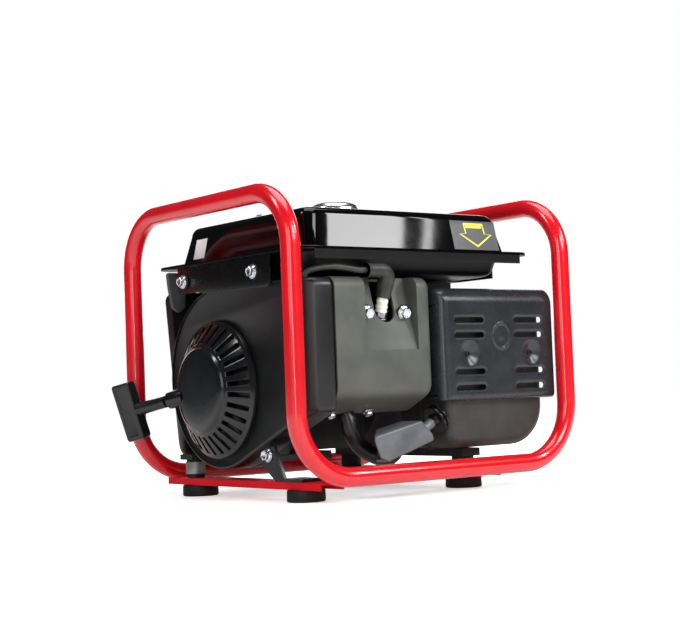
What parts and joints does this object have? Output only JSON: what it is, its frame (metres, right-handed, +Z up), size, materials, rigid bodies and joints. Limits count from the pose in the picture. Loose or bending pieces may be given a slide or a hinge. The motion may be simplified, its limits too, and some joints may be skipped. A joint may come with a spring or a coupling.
{
  "type": "portable generator",
  "caption": "Compact two-stroke petrol generator in a bent red tube frame, with recoil starter, top fuel tank, muffler with slotted guard, and rear control panel.",
  "frame": {"origin": "middle of the whole part's base, on the ground under the rubber feet", "axes": "+Z up; +X along the crankshaft from the recoil starter towards the alternator; +Y towards the control panel, so -Y is the cylinder and muffler side"},
  "size_m": [0.413, 0.328, 0.32],
  "materials": {
    "frame_paint": "gloss red powder coat",
    "foot_rubber": "matt moulded rubber",
    "mount_rubber": "matt moulded rubber",
    "black_sheet": "semi-gloss black paint",
    "guard_sheet": "satin black heat-resistant paint",
    "muffler_steel": "matt dark grey heat-resistant paint",
    "engine_casting": "black-painted rough casting",
    "cast_alloy": "as-cast, lightly blasted",
    "machined_steel": "machined, oiled",
    "winding_copper": null,
    "housing_plastic": "satin moulded black plastic",
    "shroud_plastic": "fine-grained dark grey plastic",
    "grey_plastic": "smooth grey plastic",
    "handle_rubber": "soft moulded grip",
    "lead_rubber": "smooth black rubber",
    "coil_resin": "potted coil body",
    "plug_ceramic": null,
    "rope_braid": "braided black cord",
    "filter_foam": null,
    "tank_paint": "high-gloss black enamel",
    "cap_chrome": "bright plating",
    "red_plastic": "gloss moulded red"
  },
  "bodies": {
    "root": {"left_frame_tube": "frame_paint", "right_frame_tube": "frame_paint", "left_channel": "frame_paint", "right_channel": "frame_paint", "foot_left_near": "foot_rubber", "foot_left_far": "foot_rubber", "foot_right_near": "foot_rubber", "foot_right_far": "foot_rubber", "engine_mount": "mount_rubber", "alternator_mount_near": "mount_rubber", "alternator_mount_far": "mount_rubber", "engine_foot": "black_sheet", "tank_bracket_left": "black_sheet", "tank_bracket_right": "black_sheet", "control_panel": "black_sheet", "muffler_guard": "guard_sheet", "muffler": "muffler_steel", "crankcase": "engine_casting", "cylinder_barrel": "engine_casting", "cylinder_head": "engine_casting", "alternator_housing": "engine_casting", "carburettor": "cast_alloy", "fuel_tap": "cast_alloy", "left_bearing": "machined_steel", "right_bearing": "machined_steel", "recoil_spring": "machined_steel", "tail_pipe": "machined_steel", "alternator_stator": "winding_copper", "blower_housing": "housing_plastic", "recoil_cover": "housing_plastic", "air_filter_housing": "housing_plastic", "air_filter_cover": "housing_plastic", "cylinder_shroud": "shroud_plastic", "ac_socket": "grey_plastic", "exhaust_deflector": "grey_plastic", "plug_cap": "lead_rubber", "ignition_lead": "lead_rubber", "fuel_hose": "lead_rubber", "ignition_coil": "coil_resin", "spark_plug": "plug_ceramic", "air_filter_element": "filter_foam", "tank_upper": "tank_paint", "tank_lower": "tank_paint"},
    "crank": {"crankshaft_left": "machined_steel", "crankshaft_right": "machined_steel", "flywheel": "cast_alloy", "starter_cup": "machined_steel", "alternator_rotor": "machined_steel"},
    "piston_set": {"piston": "cast_alloy", "wrist_pin": "machined_steel", "connecting_rod": "machined_steel", "crank_pin": "machined_steel"},
    "handle": {"starter_handle": "handle_rubber", "starter_rope": "rope_braid"},
    "pulley": {"recoil_pulley": "grey_plastic"},
    "cap": {"fuel_cap": "cap_chrome"},
    "tap_lever": {"fuel_tap_lever": "red_plastic"},
    "choke": {"choke_lever": "grey_plastic"},
    "rocker": {"engine_switch": "red_plastic"},
    "breaker": {"breaker_button": "red_plastic"}
  },
  "joints": [
    {"name": "crank_turn", "type": "hinge", "parent": "root", "child": "crank", "pos_m": [-0.03352, 0.031, 0.116], "axis": [1, 0, 0], "continuous": true},
    {"name": "piston_stroke", "type": "slide", "parent": "root", "child": "piston_set", "axis": [0, -0.9537, 0.3007], "range_m": [0, 0.04]},
    {"name": "starter_pull", "type": "slide", "parent": "root", "child": "handle", "axis": [-0.3746, 0.9272, 0], "range_m": [0, 0.6], "stiffness_N_per_m": 30, "springref_m": -0.1},
    {"name": "pulley_turn", "type": "hinge", "parent": "root", "child": "pulley", "pos_m": [-0.15252, 0.031, 0.116], "axis": [1, 0, 0], "range_deg": [0, 960]},
    {"name": "cap_turn", "type": "hinge", "parent": "root", "child": "cap", "pos_m": [-0.00752, -0.01, 0.3], "axis": [0, 0, 1], "range_deg": [0, 90]},
    {"name": "tap_turn", "type": "hinge", "parent": "root", "child": "tap_lever", "pos_m": [-0.08252, 0.15, 0.242], "axis": [0, -1, 0], "range_deg": [0, 90]},
    {"name": "choke_turn", "type": "hinge", "parent": "root", "child": "choke", "pos_m": [-0.13152, 0.124, 0.208], "axis": [0, 1, 0], "range_deg": [0, 40]},
    {"name": "switch_rock", "type": "hinge", "parent": "root", "child": "rocker", "pos_m": [0.04248, 0.142, 0.142], "axis": [-1, 0, 0], "range_deg": [0, 20]},
    {"name": "breaker_press", "type": "slide", "parent": "root", "child": "breaker", "axis": [0, -1, 0], "range_m": [0, 0.003], "stiffness_N_per_m": 400, "springref_m": -0.002}
  ],
  "couplings": [
    {"joint": "pulley_turn", "follows": "starter_pull", "rad_per_m": 27.778}
  ]
}
